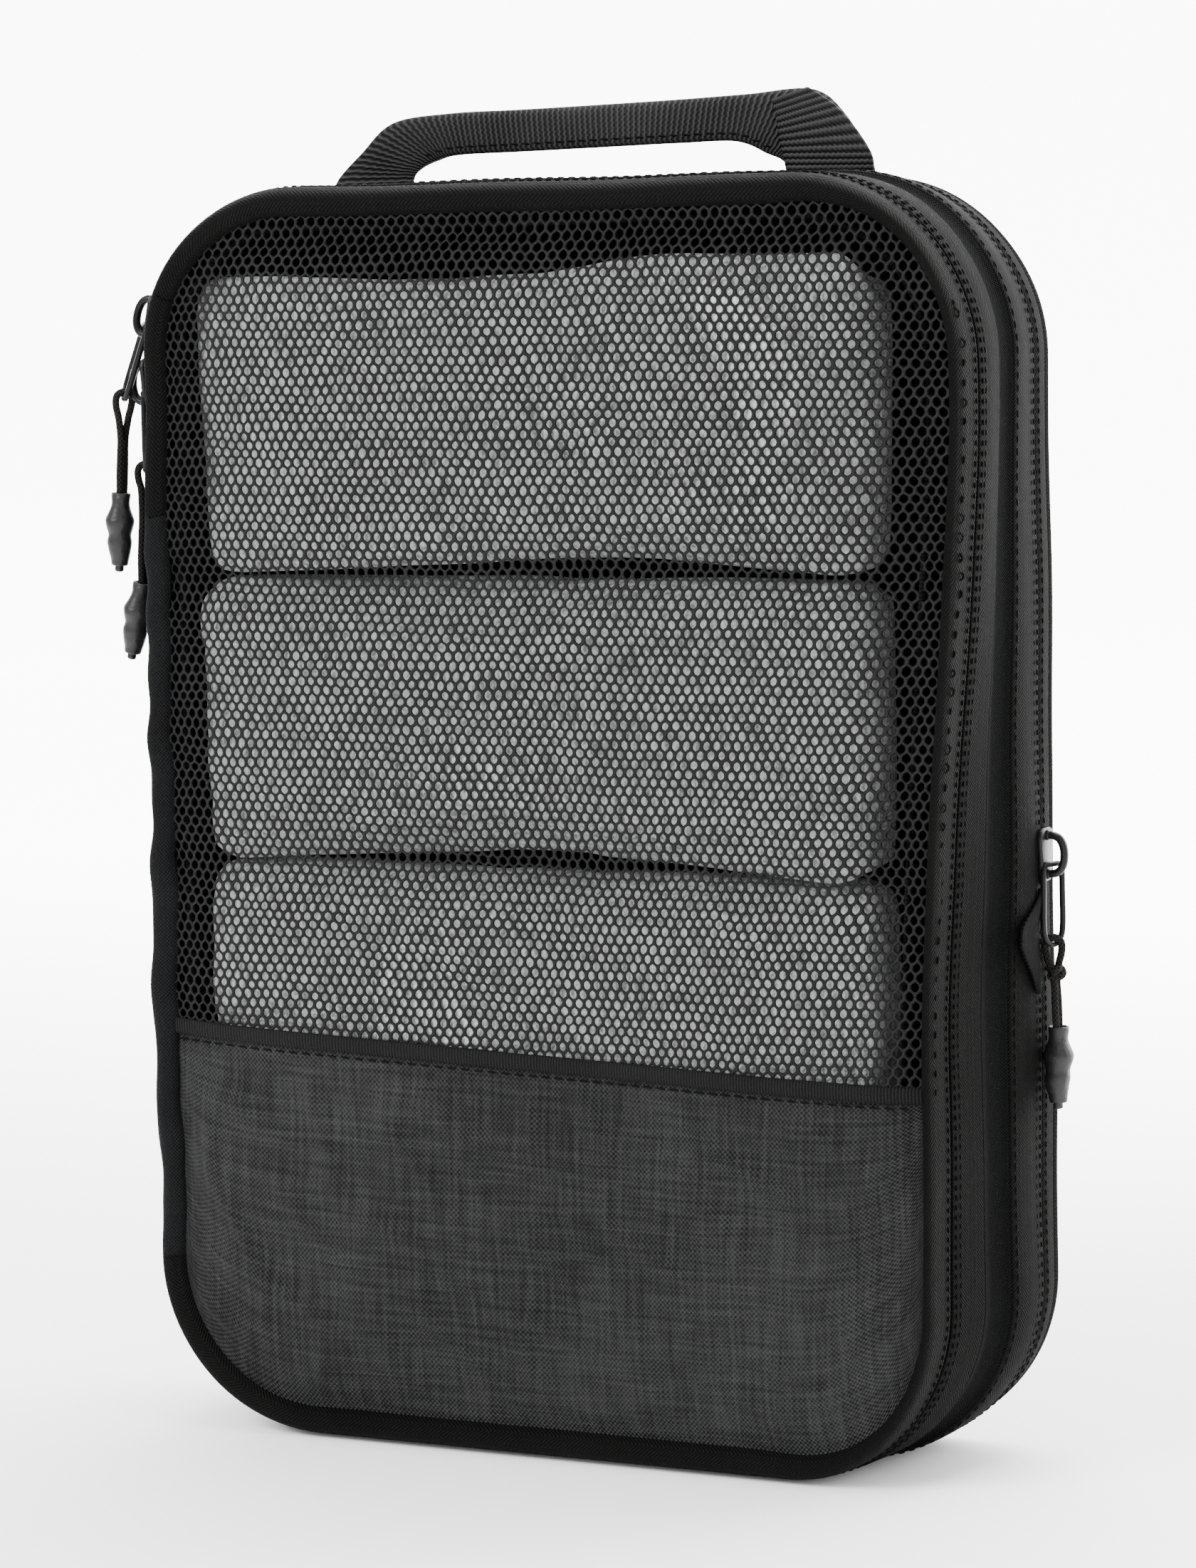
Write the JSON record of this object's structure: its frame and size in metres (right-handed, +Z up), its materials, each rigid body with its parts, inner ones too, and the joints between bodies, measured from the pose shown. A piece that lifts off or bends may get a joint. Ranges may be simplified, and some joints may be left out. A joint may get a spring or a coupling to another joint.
{
  "type": "packing cube",
  "caption": "Compression packing cube with a mesh lid hinged on its left side, a second zip that lets the back expand, a top handle and cord zip pulls, packed with folded garments.",
  "frame": {"origin": "centre of the bottom edge band, on the surface the cube stands on", "axes": "+Z up towards the handle, -Y out of the mesh lid, +X towards the compression zip's slider"},
  "size_m": [0.2613, 0.076, 0.3581],
  "materials": {
    "tape": "matt black polyester twill tape",
    "fabric": "matt charcoal plain-weave nylon",
    "mesh": "black open polyester mesh",
    "coil": "black nylon coil",
    "piping": "brownish-black ribbed binding tape",
    "webbing": "black ribbed polyester webbing",
    "stitch": "folded charcoal seam strip with a sewn line",
    "metal": "glossy black plated zinc",
    "cord": "black braided cord",
    "sleeve": "satin black shrink sleeve",
    "garment": "light grey heather knit"
  },
  "bodies": {
    "case_body": {"rear_main_tape": "tape", "rear_main_coil": "coil", "hinge_panel": "fabric", "hinge_side_main_tape": "tape", "hinge_side_main_coil": "coil", "side_gusset": "fabric", "front_compression_tape": "tape", "front_compression_coil": "coil", "compression_tape_end": "tape", "expansion_gusset": "fabric", "front_seam_binding": "piping", "rear_seam_binding": "piping", "bottom_garment": "garment", "lower_garment": "garment", "middle_garment": "garment", "top_garment": "garment"},
    "lid": {"mesh_window": "mesh", "lower_front_panel": "fabric", "panel_seam_strip": "stitch", "front_main_tape": "tape", "front_main_coil": "coil", "lid_seam_binding": "piping"},
    "back": {"back_panel": "fabric", "back_piping": "piping", "rear_compression_tape": "tape", "rear_compression_coil": "coil", "handle_left_end": "webbing", "handle_right_end": "webbing"},
    "handle": {"handle_webbing": "webbing"},
    "upper_main_slider_body": {"upper_main_slider": "metal"},
    "upper_main_puller_body": {"upper_main_puller": "metal"},
    "upper_main_cord_body": {"upper_main_cord": "cord", "upper_main_cord_tip": "sleeve"},
    "lower_main_slider_body": {"lower_main_slider": "metal"},
    "lower_main_puller_body": {"lower_main_puller": "metal"},
    "lower_main_cord_body": {"lower_main_cord": "cord", "lower_main_cord_tip": "sleeve"},
    "compression_slider_body": {"compression_slider": "metal"},
    "compression_puller_body": {"compression_puller": "metal"},
    "compression_cord_body": {"compression_cord": "cord", "compression_cord_tip": "sleeve"}
  },
  "joints": [
    {"name": "lid_open", "type": "hinge", "parent": "case_body", "child": "lid", "pos_m": [-0.1215, -0.0215, 0.169], "axis": [0, 0, -1], "range_deg": [0, 165], "deforming": ["hinge_panel", "hinge_side_main_tape"]},
    {"name": "expansion", "type": "slide", "parent": "case_body", "child": "back", "axis": [0, 1, 0], "range_m": [0, 0.035], "deforming": ["expansion_gusset"]},
    {"name": "handle_fold", "type": "hinge", "parent": "back", "child": "handle", "pos_m": [0, 0.026, 0.339], "axis": [-1, 0, 0], "range_deg": [0, 70]},
    {"name": "upper_main_slider_travel", "type": "hinge", "parent": "case_body", "child": "upper_main_slider_body", "pos_m": [-0.072, -0.0215, 0.29], "axis": [0, 1, 0], "range_deg": [0, 74]},
    {"name": "upper_main_puller_swing", "type": "hinge", "parent": "upper_main_slider_body", "child": "upper_main_puller_body", "pos_m": [-0.12181, -0.0215, 0.30168], "axis": [0, -1, 0], "range_deg": [-80, 0]},
    {"name": "upper_main_cord_swing", "type": "hinge", "parent": "upper_main_puller_body", "child": "upper_main_cord_body", "pos_m": [-0.12941, -0.0215, 0.28189], "axis": [0, -1, 0], "range_deg": [-45, 0]},
    {"name": "lower_main_slider_travel", "type": "slide", "parent": "case_body", "child": "lower_main_slider_body", "axis": [0, 0, -1], "range_m": [0, 0.028]},
    {"name": "lower_main_puller_swing", "type": "hinge", "parent": "lower_main_slider_body", "child": "lower_main_puller_body", "pos_m": [-0.1231, -0.0215, 0.2835], "axis": [0, -1, 0], "range_deg": [-80, 0]},
    {"name": "lower_main_cord_swing", "type": "hinge", "parent": "lower_main_puller_body", "child": "lower_main_cord_body", "pos_m": [-0.1231, -0.0215, 0.2623], "axis": [1, 0, 0], "range_deg": [-10, 10]},
    {"name": "compression_slider_travel", "type": "slide", "parent": "case_body", "child": "compression_slider_body", "axis": [0, 0, 1], "range_m": [0, 0.12]},
    {"name": "compression_puller_swing", "type": "hinge", "parent": "compression_slider_body", "child": "compression_puller_body", "pos_m": [0.1231, 0.0195, 0.158], "axis": [0, 1, 0], "range_deg": [-80, 0]},
    {"name": "compression_cord_swing", "type": "hinge", "parent": "compression_puller_body", "child": "compression_cord_body", "pos_m": [0.1231, 0.0195, 0.1368], "axis": [0, 1, 0], "range_deg": [-45, 0]}
  ],
  "couplings": [
    {"joint": "lower_main_puller_swing", "follows": "upper_main_puller_swing", "ratio": 1}
  ]
}
